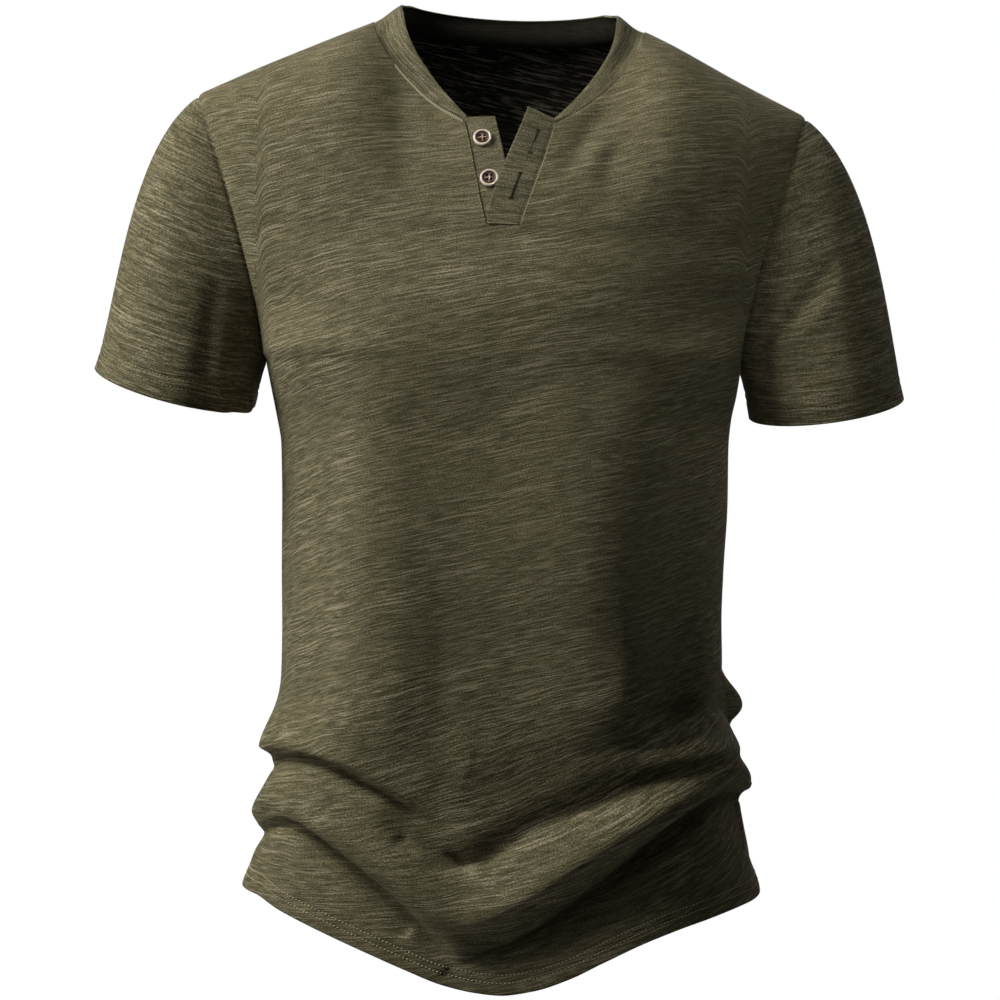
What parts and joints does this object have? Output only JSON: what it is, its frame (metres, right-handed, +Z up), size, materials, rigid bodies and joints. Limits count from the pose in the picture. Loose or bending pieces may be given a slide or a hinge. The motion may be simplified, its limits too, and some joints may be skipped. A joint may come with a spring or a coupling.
{
  "type": "henley shirt",
  "caption": "Short-sleeved slub-knit henley with an open buttoned placket, narrow neckband, set-in sleeves and a curved hem, filled out as worn",
  "frame": {"origin": "between the two shoulder seams at the neck, level with the high shoulder points, where the wearer carries the shirt", "axes": "+Z up along the body, +X to the viewer's right (the wearer's left side), front facing -Y"},
  "size_m": [0.5977, 0.2441, 0.7207],
  "materials": {
    "body_knit": "matte slub jersey",
    "trim_knit": "matte slub jersey, folded double",
    "buttons": "satin brown with a worn pale rim"
  },
  "bodies": {
    "root": {"front_panel": "body_knit", "back_panel": "body_knit", "sleeve_left": "body_knit", "sleeve_right": "body_knit", "neckband": "trim_knit", "placket_underlap": "trim_knit", "placket_overlap": "trim_knit", "button_upper": "buttons", "button_lower": "buttons"}
  },
  "joints": []
}
